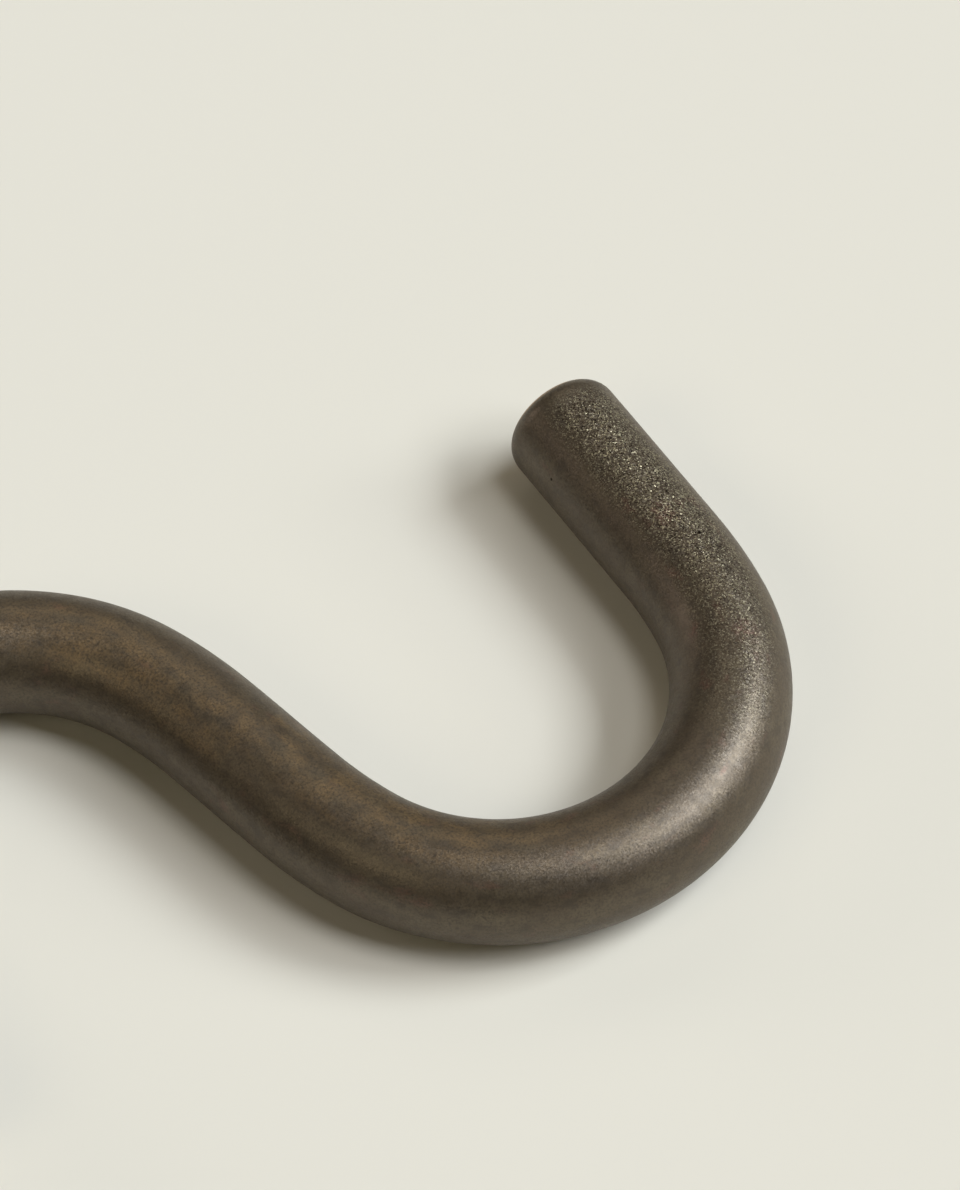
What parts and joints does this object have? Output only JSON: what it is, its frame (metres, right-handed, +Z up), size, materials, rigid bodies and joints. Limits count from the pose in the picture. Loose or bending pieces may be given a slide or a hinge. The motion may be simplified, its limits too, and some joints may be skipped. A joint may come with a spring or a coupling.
{
  "type": "curtain hook",
  "caption": "S-shaped curtain hook bent from round metal rod with an antique bronze finish; one hook goes over the curtain rod, the other carries the curtain.",
  "frame": {"origin": "on the surface that the hook lies on, under the middle of the shank, which is also the middle of its bounding box", "axes": "+X along the load line, from one round bend's centre to the other's; +Z up, square to the flat plane that the S is bent in; the mouth of the +X hook opens towards +Y"},
  "size_m": [0.0536, 0.0296, 0.006],
  "materials": {
    "rod": "satin"
  },
  "bodies": {
    "root": {"hook": "rod"}
  },
  "joints": []
}
